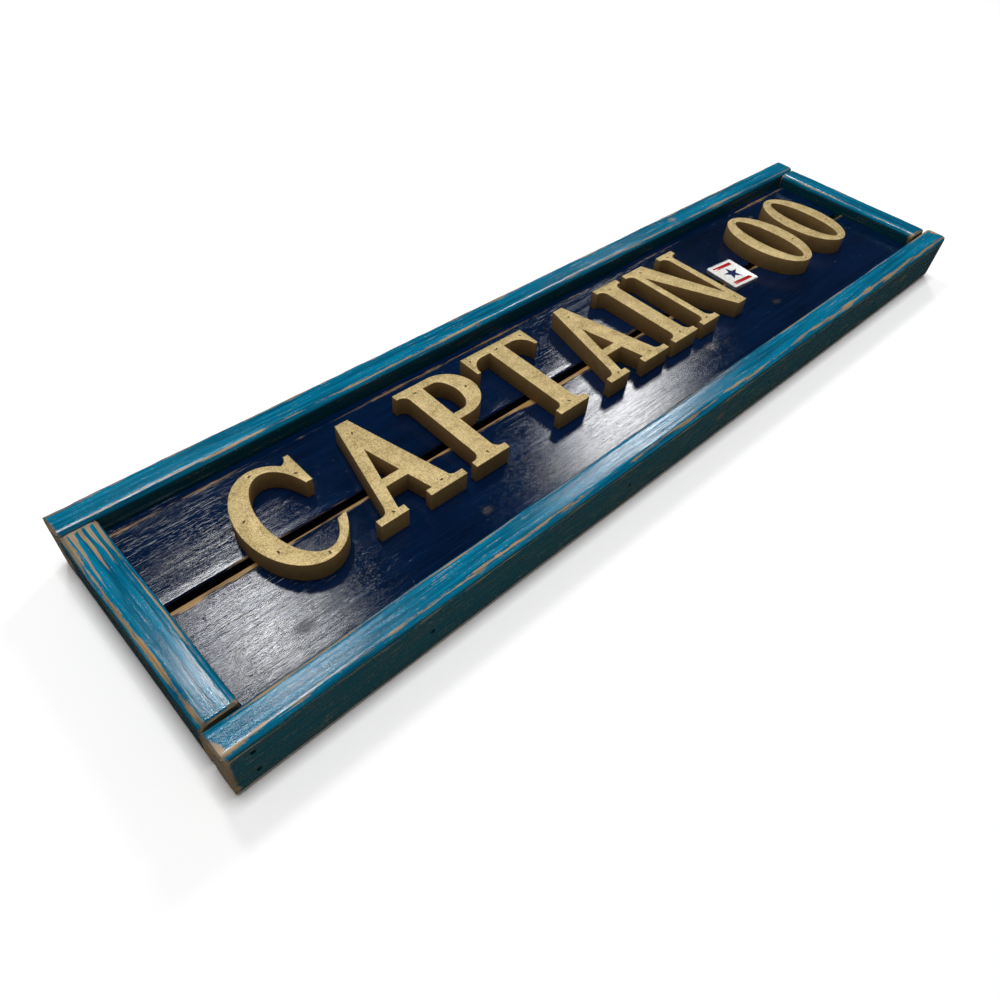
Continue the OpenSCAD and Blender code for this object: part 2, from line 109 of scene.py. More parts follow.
def sawn_board(name, low, high, grain, ease, step, length_cuts):
    """A board with eased edges, cut into an even mesh.

    low and high are its corners, and grain is the axis that it runs along, 0 for X or 1 for Y.
    """
    bpy.ops.object.select_all(action="DESELECT")
    size = Vector(high) - Vector(low)
    bpy.ops.mesh.primitive_cube_add(size=1, location=(Vector(low) + Vector(high)) / 2, scale=size)
    piece = start_piece(name)
    bpy.ops.object.mode_set(mode="EDIT")
    pick("edges", runs_along(grain, 5 * MM))
    bpy.ops.mesh.bevel(offset=ease, segments=6, affect="EDGES")
    for axis in (1 - grain, 2):
        pick("edges", runs_along(axis, 5 * MM))
        bpy.ops.mesh.subdivide(number_cuts=int((size[axis] - 2 * ease) / step))
    for cuts in length_cuts:
        pick("edges", runs_along(grain, 1.2 * MM))
        bpy.ops.mesh.subdivide(number_cuts=cuts)
    middle = (low[grain] + high[grain]) / 2
    pick("faces", lambda face: abs(face.normal[grain]) > 0.9)
    bpy.ops.mesh.inset(thickness=0.4 * ease)
    bpy.ops.object.mode_set(mode="OBJECT")
    # ease the two ends as well
    for vertex in piece.data.vertices:
        past = abs(vertex.co[grain] - middle) - (size[grain] / 2 - 0.01 * MM)
        if past > 0:
            rim = min((size[a] / 2 - abs(vertex.co[a] - (low[a] + high[a]) / 2)) for a in (1 - grain, 2))
            if rim < 0.2 * ease:
                vertex.co[grain] -= math.copysign(0.35 * ease, vertex.co[grain] - middle)
    return piece


def weigh(piece, name, weight):
    """A vertex group whose weights come from a function of the vertex's place."""
    group = piece.vertex_groups.new(name=name)
    for vertex in piece.data.vertices:
        share = weight(vertex.co)
        if share > 0.01:
            group.add([vertex.index], min(share, 1.0), "REPLACE")
    return name


def near_edges(low, high, grain, reach):
    """Weights that are 1 on the board's long edges and fall to 0 at a distance from them."""
    def weight(co):
        gaps = [min(co[a] - low[a], high[a] - co[a]) for a in (1 - grain, 2)]
        return 1 - max(gaps) / reach
    return weight


def near_spot(place, radius, stretch=(1, 1, 1)):
    """Weights that fall off smoothly round a place."""
    def weight(co):
        away = Vector(((co[a] - place[a]) / stretch[a] for a in range(3))).length / radius
        return math.exp(-2 * away * away)
    return weight


def push(piece, depth, texture=None, stretch=(1, 1, 1), group="", middle=0.5):
    """Move the surface along its normal by a cloud texture, or evenly where there is none."""
    bend = piece.modifiers.new("push", "DISPLACE")
    bend.strength = depth
    bend.mid_level = middle
    bend.vertex_group = group
    ruler = None
    if texture:
        bend.texture = texture
        ruler = bpy.data.objects.new("ruler", None)
        ruler.scale = stretch
        bpy.context.scene.collection.objects.link(ruler)
        bpy.context.view_layer.update()
        bend.texture_coords = "OBJECT"
        bend.texture_coords_object = ruler
    apply_all(piece)
    if ruler:
        bpy.data.objects.remove(ruler)


def cloud(name, size, depth=2):
    texture = bpy.data.textures.new(name, "CLOUDS")
    texture.noise_scale = size
    texture.noise_depth = depth
    return texture


def along(grain, long, across):
    """A texture's stretch: long along the grain, short across it."""
    return (long, across, across) if grain == 0 else (across, long, across)


def weather(piece, low, high, grain, wear, relief):
    """Plane waves, rubbed edges and raised grain on a board."""
    push(piece, 0.5 * MM, cloud("waves", 1.0), along(grain, 0.11, 0.03))
    group = weigh(piece, "edges", near_edges(low, high, grain, 5 * MM))
    push(piece, -wear, cloud("rubbed", 1.0, 3), along(grain, 0.035, 0.02), group, 0.3)
    push(piece, -wear * 0.5, cloud("nicked", 1.0, 3), along(grain, 0.006, 0.004), group, 0.55)
    push(piece, relief, cloud("grain", 1.0, 1), along(grain, 0.05, 0.0016))


def plane_to_size(piece, low, high):
    """Take down whatever stands proud of the board's sizes."""
    for vertex in piece.data.vertices:
        vertex.co = [min(max(vertex.co[a], low[a]), high[a]) for a in range(3)]


def drill(piece, holes):
    """Cut small round holes: each is a place, a direction, a radius and a depth."""
    bpy.ops.object.select_all(action="DESELECT")
    cutters = []
    for place, direction, radius, depth in holes:
        turn = Vector(direction).to_track_quat("Z", "Y").to_euler()
        bpy.ops.mesh.primitive_cylinder_add(vertices=14, radius=radius, depth=2 * depth,
                                            location=place, rotation=turn)
        cutters.append(bpy.context.object)
    for cutter in cutters:
        cutter.select_set(True)
    bpy.ops.object.join()
    tool = bpy.context.object
    cut = piece.modifiers.new("holes", "BOOLEAN")
    cut.operation = "DIFFERENCE"
    cut.solver = "MANIFOLD"
    cut.object = tool
    apply_all(piece)
    bpy.data.objects.remove(tool)


def islands(node):
    """The box of each separate solid of a CAD node, as (lowest corner, highest corner)."""
    mesh = bmesh.new()
    mesh.from_mesh(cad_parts[node].data)
    bmesh.ops.remove_doubles(mesh, verts=mesh.verts, dist=1e-6)
    left = set(mesh.verts)
    boxes = []
    while left:
        found = [left.pop()]
        for vertex in found:
            for edge in vertex.link_edges:
                other = edge.other_vert(vertex)
                if other in left:
                    left.discard(other)
                    found.append(other)
        corners = [[pick_of(vertex.co[a] for vertex in found) for a in range(3)] for pick_of in (min, max)]
        boxes.append((Vector(corners[0]), Vector(corners[1])))
    mesh.free()
    return sorted(boxes, key=lambda box: tuple(round(v, 5) for v in box[0]))


class Flow:
    """A socket of a material's node tree; sums and products on it add the nodes that work them out."""

    def __init__(self, tree, socket):
        self.tree = tree
        self.socket = socket

    def node(self, kind, settings=None, feeds=None, out=0):
        """Add a node, set it up, feed its inputs with values or links, and return one of its outputs."""
        made = self.tree.nodes.new(kind)
        for name, value in (settings or {}).items():
            setattr(made, name, value)
        for name, value in (feeds or {}).items():
            if isinstance(value, Flow):
                self.tree.links.new(value.socket, made.inputs[name])
            else:
                made.inputs[name].default_value = value
        return Flow(self.tree, made.outputs[out])

    def maths(self, operation, *values):
        return self.node("ShaderNodeMath", {"operation": operation}, dict(enumerate(values)))

    def __add__(self, other):
        return self.maths("ADD", self, other)

    def __radd__(self, other):
        return self.maths("ADD", other, self)

    def __sub__(self, other):
        return self.maths("SUBTRACT", self, other)

    def __rsub__(self, other):
        return self.maths("SUBTRACT", other, self)

    def __mul__(self, other):
        return self.maths("MULTIPLY", self, other)

    def __rmul__(self, other):
        return self.maths("MULTIPLY", other, self)

    def __abs__(self):
        return self.maths("ABSOLUTE", self)

    def most(self, other):
        return self.maths("MAXIMUM", self, other)

    def least(self, other):
        return self.maths("MINIMUM", self, other)

    def rise(self, low, high):
        """0 below low, 1 above high and a soft step between them; low may be the larger."""
        feeds = {"Value": self, "From Min": low, "From Max": high, "To Min": 0.0, "To Max": 1.0}
        return self.node("ShaderNodeMapRange", {"interpolation_type": "SMOOTHSTEP"}, feeds)

    def scaled(self, factors):
        return self.node("ShaderNodeVectorMath", {"operation": "MULTIPLY"}, {0: self, 1: factors})

    def moved(self, step):
        return self.node("ShaderNodeVectorMath", {"operation": "ADD"}, {0: self, 1: step})

    def part(self, index):
        return self.node("ShaderNodeSeparateXYZ", None, {0: self}, index)

    def length(self):
        return self.node("ShaderNodeVectorMath", {"operation": "LENGTH"}, {0: self}, 1)

    def noise(self, detail=2.0, roughness=0.5, distortion=0.0):
        feeds = {"Vector": self, "Scale": 1.0, "Detail": detail, "Roughness": roughness,
                 "Distortion": distortion}
        return self.node("ShaderNodeTexNoise", None, feeds)

    def blend(self, first, second):
        """A colour between two, by this factor."""
        return self.node("ShaderNodeMix", {"data_type": "RGBA"}, {0: self, 6: first, 7: second}, 2)

    def dents(self, strength, depth, under=None):
        """A bump from this height, on top of another bump."""
        feeds = {"Strength": strength, "Distance": depth, "Height": self}
        if under:
            feeds["Normal"] = under
        return self.node("ShaderNodeBump", None, feeds)


def new_material(name, **constants):
    """A material with its fixed sockets set, its shader, and the object's own coordinates in millimetres."""
    material = bpy.data.materials.new(name)
    material.use_nodes = True
    tree = material.node_tree
    shader = tree.nodes["Principled BSDF"]
    for socket, value in constants.items():
        shader.inputs[socket.replace("_", " ")].default_value = value
    place = tree.nodes.new("ShaderNodeTexCoord")
    return material, shader, Flow(tree, place.outputs["Object"]).scaled((1000, 1000, 1000))


def wire(shader, **links):
    """Join flows to the shader's sockets."""
    for socket, flow in links.items():
        flow.tree.links.new(flow.socket, shader.inputs[socket.replace("_", " ")])


def colour(red, green, blue):
    """A colour as a paint chart gives it, 0 to 255, in linear light."""
    return tuple((v / 12.92 if v <= 0.04045 else ((v + 0.055) / 1.055) ** 2.4)
                 for v in (red / 255, green / 255, blue / 255)) + (1.0,)


TEAL_LIGHT = colour(0, 116, 150)
TEAL_DEEP = colour(0, 72, 98)
# the darker teal of the sides, partly painted shade; it is also the paint left on the sawn ends
TEAL_SHADE = colour(0, 68, 78)
GLAZE_BROWN = colour(60, 66, 50)
RUBBED_GOLD = colour(178, 136, 68)
RUBBED_BROWN = colour(112, 94, 66)
RUBBED_PALE = colour(196, 182, 156)
PINE_LIGHT = colour(205, 165, 112)
PINE_DARK = colour(160, 116, 68)
END_LIGHT = colour(136, 114, 82)
END_DARK = colour(88, 74, 54)
NO_KNOTS = ((0, 0, 99, 1),)     # a place far above the board


def board_space(place, low, high, grain):
    """Coordinates from the board's middle, with X along its grain, and its half sizes, in millimetres."""
    middle = [(low[a] + high[a]) * 500 for a in range(3)]
    half = [(high[a] - low[a]) * 500 for a in range(3)]
    turn = math.pi / 2 if grain == 1 else 0.0
    if grain == 1:
        half[0], half[1] = half[1], half[0]
    spot = place.node("ShaderNodeMapping", {"vector_type": "TEXTURE"},
                      {"Vector": place, "Location": middle, "Rotation": (0, 0, turn)})
    return spot, half


def knots(spot, places):
    """1 in the heart of each knot, falling to 0 at its rim.

    A knot is (x, y, z, radius), measured from the board's middle.
    """
    marks = None
    for x, y, z, radius in places:
        away = spot.moved((-x, -y, -z)).scaled((0.7, 1, 1)).length()
        mark = away.rise(radius, radius * 0.3)
        marks = mark if marks is None else marks.most(mark)
    return marks


def frame_paint(name, low, high, grain, seed, outer, streaks=0.0, knot_places=NO_KNOTS, bald=0.0):
    """Teal paint rubbed through along the ridges of one frame board.

    outer is the sign of Y towards the board's outer side, streaks is how far long scrapes run in from
    the upper end, and bald widens the rubbed ridge of the lower half.
    """
    material, shader, place = new_material(name, Specular_IOR_Level=0.5)
    spot, half = board_space(place, low, high, grain)
    x, y, z = spot.part(0), spot.part(1), spot.part(2)
    shifted = spot.moved((seed * 37.0, seed * 11.0, seed * 5.0))
    warp = shifted.scaled((0.03, 0.1, 0.1)).noise(2.0) - 0.5
    fibre = shifted.scaled((0.04, 1.7, 1.7)).noise(5.0, 0.62, 0.1)
    band = shifted.scaled((0.011, 0.42, 0.42)).noise(3.0, 0.5, 0.3)
    patch = shifted.scaled((0.02, 0.05, 0.05)).noise(3.0, 0.55)
    width = shifted.moved((300, 40, 9)).scaled((0.03, 0.05, 0.05)).noise(3.0, 0.6)
    grit = shifted.scaled((0.8, 1.7, 1.7)).noise(4.0, 0.65)
    toward = y * outer
    from_outer = half[1] - toward
    from_inner = half[1] + toward
    below = half[2] - z
    from_end = half[0] - abs(x)
    above_back = z + half[2]
    on_front = below.rise(2.6, 1.2)
    on_outer = from_outer.rise(1.8, 0.8)
    # paint: bright and brushed on the front, a darker teal on the sides that is partly painted shade, glazed
    # brown on the outer side
    brushed = (band * 0.5 + fibre * 0.4 + patch * 0.2).rise(0.40, 0.68)
    paint = brushed.blend(TEAL_DEEP, TEAL_LIGHT)
    side = below.rise(1.8, 3.6)
    # painted shade, in part: the sides and back are turned to the darker teal
    paint = (side * 0.95).blend(paint, TEAL_SHADE)
    glaze = (fibre * 0.5 + band * 0.4 + patch * 0.3).rise(0.50, 0.80) * on_outer * below.rise(4.0, 7.0)
    paint = (glaze * 0.7).blend(paint, GLAZE_BROWN)
    # wood that shows where the paint is rubbed off
    bare = (fibre * 0.5 + patch * 0.5).rise(0.38, 0.58).blend(RUBBED_BROWN, RUBBED_GOLD)
    bare = (grit * 0.7 + fibre * 0.3).rise(0.55, 0.72).blend(bare, RUBBED_PALE)
    ragged = 3.2 * (fibre - 0.5) + 2.4 * (grit - 0.5)
    ridge = abs(from_outer - 2.4 - 4.0 * warp) - 6.0 * (width - 0.43) - bald * x.rise(12, -14) - ragged
    rubbed = ridge.rise(0.5, -0.3) * on_front
    lower_ridge = abs(below - 5.0 - 3.0 * warp) - 3.0 * (width - 0.44) - ragged
    rubbed = rubbed.most(lower_ridge.rise(0.4, -0.3) * on_outer * 0.8)
    inner_ridge = abs(from_inner - 2.2 - 1.6 * warp) - 2.8 * (patch - 0.42) - 0.8 * ragged
    rubbed = rubbed.most(inner_ridge.rise(0.4, -0.3) * on_front)
    back_ridge = above_back.most(from_outer) - 1.2 - 6.0 * (patch - 0.5) - ragged
    rubbed = rubbed.most(back_ridge.rise(1.0, 0.0) * 0.8)
    flecks = (fibre * 0.72 + grit * 0.42 + patch * 0.12).rise(0.73, 0.80)
    rubbed = rubbed.most(flecks * 0.85)
    end_line = from_end - 0.8 - 14.0 * (patch - 0.46) - 4.0 * (fibre - 0.5)
    rubbed = rubbed.most(end_line.rise(1.5, 0.0))
    if streaks:
        run = (half[0] - x) * (1.0 / streaks)
        scrape = y * 1.5 + 9.0 * warp + x * 0.02
        comb = scrape.maths("SINE", scrape) * 0.5 + 0.5
        reach = comb * comb - run - 0.10 + 1.2 * (patch - 0.5) + 0.9 * (fibre - 0.5)
        rubbed = rubbed.most(reach.rise(-0.02, 0.08) * on_front * 0.95)
    soiled = (from_end + 8.0 * (patch - 0.5)).rise(5.0, 0.5) * (0.3 + 0.7 * fibre.rise(0.4, 0.6))
    bare = (soiled * 0.65).blend(bare, END_DARK)
    knot = knots(spot, knot_places)
    # growth rings on the sawn ends
    ring = ring_count(spot, patch)
    end_wood = (ring.maths("SINE", ring) * 0.5 + 0.5).blend(END_DARK, END_LIGHT)
    end_wood = (grit * 0.6 + patch * 0.5).rise(0.56, 0.66).blend(end_wood, TEAL_SHADE)
    on_end = from_end.rise(1.0, 0.5)
    skin = (rubbed * (1 - 0.45 * grit)).blend(paint, bare)
    skin = on_end.blend(skin, end_wood)
    skin = (knot * (0.25 + 0.6 * grit.rise(0.4, 0.6))).blend(skin, RUBBED_BROWN)
    # the back edge is raw pine with paint run over it
    back = (above_back + 2.5 * (patch - 0.5) + fibre - 0.5).rise(1.6, 0.4)
    skin = back.blend(skin, fibre.rise(0.35, 0.65).blend(PINE_DARK, PINE_LIGHT))
    dull = on_end.most(back)
    pores = (fibre * 0.7 + grit * 0.3).rise(0.52, 0.62)
    rough = 0.07 + 0.3 * rubbed + 0.06 * grit + 0.16 * pores + 0.12 * side + 0.4 * dull + 0.2 * knot
    relief = fibre * 0.8 + band * 0.9 - rubbed * 0.25 + grit * 0.3 - knot * 0.6
    wire(shader, Base_Color=skin, Roughness=rough.least(0.85), Normal=relief.dents(0.9, 0.0001))
    return material


def ring_count(spot, warp):
    """Growth rings across an end: distance from a heart below the board, bent a little."""
    away = spot.moved((0, 6, 30)).scaled((0, 1, 1)).length()
    return away * 2.6 + warp * 6.0


def box_of(node):
    low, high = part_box(node)
    return tuple(low), tuple(high)


NAIL_HOLE_R = 1.5 * MM
NAIL_HOLE_DEPTH = 1.5 * MM
corner_nails = islands("corner_nails")
plank_nails = islands("plank_nails")


def nail_holes(node, side):
    """The mouths of the nail holes in the outer side of a rail."""
    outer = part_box(node)[1 if side > 0 else 0].y
    holes = []
    for low, high in corner_nails + plank_nails:
        middle = (low + high) / 2
        if middle.y * side > 0:
            holes.append(((middle.x, outer, middle.z), (0, 1, 0), NAIL_HOLE_R, NAIL_HOLE_DEPTH))
    return holes


def finish_piece(piece, material, slot, *nodes, angle=35):
    """Smooth, paint, and hand the piece over in place of its CAD nodes."""
    bpy.ops.object.select_all(action="DESELECT")
    piece.select_set(True)
    bpy.context.view_layer.objects.active = piece
    bpy.ops.object.shade_smooth_by_angle(angle=math.radians(angle))
    piece.data.materials.clear()
    piece.data.materials.append(material)
    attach(piece, "root")
    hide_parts(*nodes)


def gouge(piece, places):
    """Press soft hollows into a board: each is a place, a radius, a stretch and a depth."""
    for number, (spot, radius, stretch, depth) in enumerate(places):
        group = weigh(piece, f"hollow_{number}", near_spot(spot, radius * MM, stretch))
        push(piece, -depth * MM, group=group, middle=0.0)


MESH_STEP = 1.1 * MM
LENGTH_CUTS = 79                # cuts along the length of a board
FRAME_RELIEF = 0.16 * MM        # how far the grain stands up
RAIL_EASE = 3.4 * MM
RAIL_WEAR = 1.1 * MM
RAIL_HOLLOW = 0.2               # depth of the hollow round a knot, in millimetres
STILE_EASE = 4.0 * MM
STILE_WEAR = 1.4 * MM
STREAK_REACH = 46.0             # how far the scrapes on the left stile run, in millimetres
RAIL_KNOTS = {"top_rail": ((167, 0, 19, 4.0), (-60, -8, 19, 2.5)),
              "bottom_rail": ((278, -9, 4, 5.0), (17, -9, 0, 4.5), (126, -9, 15, 2.0))}
for node, side, seed in (("top_rail", 1, 3), ("bottom_rail", -1, 8)):
    low, high = box_of(node)
    rail = sawn_board(node + "_board", low, high, 0, RAIL_EASE, MESH_STEP, (LENGTH_CUTS, 2))
    weather(rail, low, high, 0, RAIL_WEAR, FRAME_RELIEF)
    middle = (Vector(low) + Vector(high)) / 2
    gouge(rail, [(middle + Vector((x, y, z)) * MM, r, (1, 1, 1), RAIL_HOLLOW)
                 for x, y, z, r in RAIL_KNOTS[node]])
    plane_to_size(rail, low, high)
    drill(rail, nail_holes(node, side))
    paint = frame_paint(node + "_paint", low, high, 0, seed, side, 0.0, RAIL_KNOTS[node])
    finish_piece(rail, paint, "frame_paint", node)

# each stile has its own wear: streaks near its upper end, and hollows along its outer edge
for node, seed, streaks, bald, side, hollows in (
        ("left_stile", 5, STREAK_REACH, 0.9, 1, ((0.028, 2.0, 1.0), (-0.002, 3.5, 0.9), (-0.066, 3.0, 1.6))),
        ("right_stile", 12, 0.0, 0.0, -1, ((0.030, 3.0, 0.7), (-0.066, 2.5, 1.0)))):
    low, high = box_of(node)
    stile = sawn_board(node + "_board", low, high, 1, STILE_EASE, MESH_STEP, (LENGTH_CUTS,))
    weather(stile, low, high, 1, STILE_WEAR, FRAME_RELIEF)
    outer_x = low[0] if side > 0 else high[0]
    gouge(stile, [((outer_x, at, high[2]), radius, (1, 2.2, 1), depth) for at, radius, depth in hollows])
    plane_to_size(stile, low, high)
    paint = frame_paint(node + "_paint", low, high, 1, seed, side, streaks, bald=bald)
    finish_piece(stile, paint, "frame_paint", node)

# ---------------------------------------------------------------------------------------------
# The planks: two one-inch pine boards with brushed grain, painted dark navy and varnished. They
# lie side by side in the frame with an open gap between them.
# ---------------------------------------------------------------------------------------------
NAVY_DEEP = colour(1, 10, 28)
NAVY_LIGHT = colour(2, 26, 58)
# near black for the planks' sides: painted shade in the gap between them
GAP_PAINTED_SHADE = colour(16, 12, 14)
DUST = colour(176, 174, 160)
GRIME = colour(26, 20, 16)


def plank_paint(name, low, high, seed, gap_side, knot_places, worn):
    """Dark navy paint over brushed grain.

    gap_side is the sign of Y towards the gap between the planks, and worn is the bald width there.
    """
    material, shader, place = new_material(name, Specular_IOR_Level=0.5)
    spot, half = board_space(place, low, high, 0)
    x, y, z = spot.part(0), spot.part(1), spot.part(2)
    shifted = spot.moved((seed * 53.0, seed * 17.0, seed * 5.0))
    knot = knots(spot, knot_places)
    fibre = shifted.scaled((0.035, 2.0, 2.0)).noise(5.0, 0.66, 0.05)
    band = shifted.scaled((0.006, 0.34, 0.34)).noise(3.0, 0.55, 0.15)
    patch = shifted.scaled((0.016, 0.03, 0.03)).noise(3.0, 0.55)
    grit = shifted.scaled((0.16, 1.9, 1.9)).noise(4.0, 0.65)
    mottle = shifted.scaled((0.25, 0.45, 0.45)).noise(4.0, 0.65)
    toward = half[1] - y * gap_side
    below = half[2] - z
    on_front = below.rise(1.6, 0.8)
    from_edge = (half[1] - abs(y)).most(below)
    paint = (fibre * 0.5 + band * 0.3 + patch * 0.35).rise(0.38, 0.74).blend(NAVY_DEEP, NAVY_LIGHT)
    # painted shade: the plank's sides, down in the gap, are made near black
    paint = on_front.blend(GAP_PAINTED_SHADE, paint)
    bare = (fibre * 0.6 + patch * 0.4).rise(0.4, 0.60).blend(RUBBED_BROWN, RUBBED_GOLD)
    ragged = 3.6 * (fibre - 0.5) + 2.4 * (grit - 0.5)
    gap_line = toward - worn - 20.0 * (patch - 0.50) - 1.6 * ragged
    rubbed = gap_line.rise(1.8, 0.0) * on_front
    rubbed = rubbed.most((from_edge + 0.6 - 6.0 * (patch - 0.5) - ragged).rise(1.0, 0.0) * 0.5 * on_front)
    if gap_side < 0:
        far_line = abs(half[1] - y - 6.0) - 8.0 * (patch - 0.55) - 1.8 * ragged
        rubbed = rubbed.most(far_line.rise(1.0, -0.6) * 0.6)
    # short bright hairs where the brush missed the bottom of the grain, thickest towards the left end
    thick = x.rise(-half[0] + 130, -half[0] + 20) * 0.075 + 0.16 * (patch - 0.5)
    hairs = (fibre * 0.55 + grit * 0.45 + thick).rise(0.65, 0.71) * on_front
    skin = (hairs * 0.75).blend(paint, DUST)
    skin = (rubbed * 0.8).blend(skin, bare)
    skin = (knot * 0.5).blend(skin, GRIME)
    back = (z + half[2] + 2.5 * (patch - 0.5) + fibre - 0.5).rise(1.6, 0.4)
    skin = back.blend(skin, fibre.rise(0.35, 0.65).blend(PINE_DARK, PINE_LIGHT))
    pores = (fibre * 0.75 + grit * 0.25).rise(0.50, 0.60)
    smear = mottle.rise(0.44, 0.62)
    rough = 0.04 + 0.35 * rubbed + 0.07 * pores + 0.45 * back + 0.05 * smear + 0.1 * hairs + 0.2 * knot
    relief = fibre * 1.2 + grit * 0.35 + band * 0.5 - rubbed * 0.2 - knot * 0.6
    wire(shader, Base_Color=skin, Roughness=rough.least(0.85), Normal=relief.dents(0.9, 0.00005))
    return material


PLANK_EASE = 1.6 * MM
PLANK_WEAR = 0.8 * MM
PLANK_RELIEF = 0.12 * MM
PLANK_HOLLOW = 0.08             # depth of the hollow round a knot, in millimetres
BRAD_HOLE_R = 0.8 * MM
BRAD_HOLE_DEPTH = 0.6 * MM
PLANK_KNOTS = {"upper_plank": ((-190, 4, 9.5, 5.0), (95, -12, 9.5, 6.0), (250, 12, 9.5, 3.5)),
               "lower_plank": ((-279, -15, 9.5, 5.5), (64, -7, 9.5, 6.0), (154, -6, 9.5, 4.5),
                               (-162, -17, 9.5, 4.0))}
brads = islands("cleat_brads")
for node, seed, gap_side, worn in (("upper_plank", 2, -1, -5.0), ("lower_plank", 7, 1, 1.6)):
    low, high = box_of(node)
    plank = sawn_board(node + "_board", low, high, 0, PLANK_EASE, MESH_STEP, (LENGTH_CUTS, 2))
    weather(plank, low, high, 0, PLANK_WEAR, PLANK_RELIEF)
    middle = (Vector(low) + Vector(high)) / 2
    gouge(plank, [(middle + Vector((x, y, z)) * MM, r, (1.6, 1, 1), PLANK_HOLLOW)
                  for x, y, z, r in PLANK_KNOTS[node]])
    plane_to_size(plank, low, high)
    centres = [(first + last) / 2 for first, last in brads]
    drill(plank, [((c.x, c.y, high[2]), (0, 0, 1), BRAD_HOLE_R, BRAD_HOLE_DEPTH)
                  for c in centres if low[1] < c.y < high[1]])
    paint = plank_paint(node + "_paint", low, high, seed, gap_side, PLANK_KNOTS[node], worn)
    finish_piece(plank, paint, "plank_paint", node)

# ---------------------------------------------------------------------------------------------
# The cleats: three thin strips of unpainted pine across the back. They join the two planks, which
# are bradded to them from the front.
# ---------------------------------------------------------------------------------------------


def raw_pine(name):
    material, shader, place = new_material(name, Specular_IOR_Level=0.35)
    fibre = place.scaled((1.4, 0.04, 1.4)).noise(4.0, 0.6, 0.2)
    band = place.scaled((0.3, 0.012, 0.3)).noise(2.0, 0.5, 0.4)
    skin = (fibre * 0.5 + band * 0.5).rise(0.36, 0.64).blend(PINE_DARK, PINE_LIGHT)
    wire(shader, Base_Color=skin, Roughness=0.6 + 0.25 * fibre, Normal=(fibre + band).dents(0.4, 0.0005))
    return material


CLEAT_EASE = 0.8 * MM
CLEAT_STEP = 1.6 * MM
CLEAT_CUTS = 59
SAW_MARK = 0.2 * MM
pine = raw_pine("cleat_pine")
for node in ("left_cleat", "middle_cleat", "right_cleat"):
    low, high = box_of(node)
    cleat = sawn_board(node + "_board", low, high, 1, CLEAT_EASE, CLEAT_STEP, (CLEAT_CUTS,))
    push(cleat, SAW_MARK, cloud("saw_marks", 1.0, 1), (0.02, 0.0025, 0.02))
    plane_to_size(cleat, low, high)
    finish_piece(cleat, pine, "bare_wood", node)

# ---------------------------------------------------------------------------------------------
# The letters and figures: sawn from half-inch fibreboard, sealed and sprayed champagne gold,
# then held to the planks by brads through their faces. The arrises are softened by the paint.
# ---------------------------------------------------------------------------------------------
GOLD_LIGHT = colour(212, 190, 136)
GOLD_DARK = colour(138, 116, 68)
# the darker, browner gold of the letters' walls is painted shade
GOLD_SHADE = colour(138, 98, 44)
LETTERS = ("letter_c", "letter_a_first", "letter_p", "letter_t", "letter_a_second", "letter_i", "letter_n",
           "figure_zero_first", "figure_zero_second")
ARRIS = 0.45 * MM


def gold_paint():
    material, shader, place = new_material("gold_paint", Specular_IOR_Level=0.4)
    fine = place.scaled((0.9, 0.9, 0.9)).noise(3.0, 0.8)
    flake = place.scaled((1.9, 1.9, 1.9)).noise(2.0, 0.7)
    cloudy = place.scaled((0.12, 0.12, 0.12)).noise(2.0)
    facing = place.node("ShaderNodeNewGeometry", None, None, 1)
    wall = abs(facing.part(2)).rise(0.6, 0.2)
    speckle = fine * 0.45 + flake * 0.55 + 0.15 * (cloudy - 0.5)
    skin = speckle.rise(0.40, 0.58).blend(GOLD_DARK, GOLD_LIGHT)
    # painted shade: the walls, turned away from the front, take the darker, browner gold; they are also made
    # duller and less metallic
    skin = (wall * (0.62 + 0.8 * (fine - 0.4)).least(1.0)).blend(skin, GOLD_SHADE)
    wire(shader, Base_Color=skin, Metallic=0.3 - 0.2 * wall, Roughness=0.42 + 0.2 * fine + 0.1 * wall,
         Normal=(fine + flake).dents(0.7, 0.00022))
    return material


def softened_copy(node, width, segments):
    """A copy of a CAD node with clean faces and softened arrises."""
    bpy.ops.object.select_all(action="DESELECT")
    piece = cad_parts[node].copy()
    piece.data = piece.data.copy()
    for key in list(piece.keys()):
        del piece[key]
    piece.parent = None
    bpy.context.scene.collection.objects.link(piece)
    piece.select_set(True)
    bpy.context.view_layer.objects.active = piece
    bpy.ops.object.mode_set(mode="EDIT")
    bpy.ops.mesh.select_all(action="SELECT")
    bpy.ops.mesh.remove_doubles(threshold=0.005 * MM)
    bpy.ops.mesh.dissolve_limited(angle_limit=math.radians(1))
    bpy.ops.object.mode_set(mode="OBJECT")
    soften = piece.modifiers.new("soften", "BEVEL")
    soften.width = width
    soften.segments = segments
    soften.limit_method = "ANGLE"
    soften.angle_limit = math.radians(40)
    apply_all(piece)
    return piece


gold = gold_paint()
for node in LETTERS:
    letter = softened_copy(node, ARRIS, 3)
    letter.name = node + "_board"
    finish_piece(letter, gold, "gold_paint", node, angle=40)

# ---------------------------------------------------------------------------------------------
# The badge: a stamped and plated base with a pin behind it, and a glossy enamel face fired in a
# shallow tray. Its design is a plain star between two bars.
# ---------------------------------------------------------------------------------------------
BADGE_TILT = math.radians(-5)
face_low, face_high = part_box("badge_face")
badge_at = (face_low + face_high) / 2
TILE_W = 28.5 * MM
TILE_H = 30.5 * MM
TILE_CORNER = 1.5 * MM
TILE_SOFT = 0.25 * MM
RIM_W = 0.7 * MM
TRAY_DEPTH = 0.25 * MM


def tilt_into_place(piece, z):
    """Turn a badge piece about its middle, move it to its place and settle both into its mesh."""
    piece.rotation_euler = (0, 0, BADGE_TILT)
    piece.location = (badge_at.x, badge_at.y, z)
    bpy.ops.object.select_all(action="DESELECT")
    piece.select_set(True)
    bpy.context.view_layer.objects.active = piece
    bpy.ops.object.transform_apply(location=True, rotation=True, scale=True)


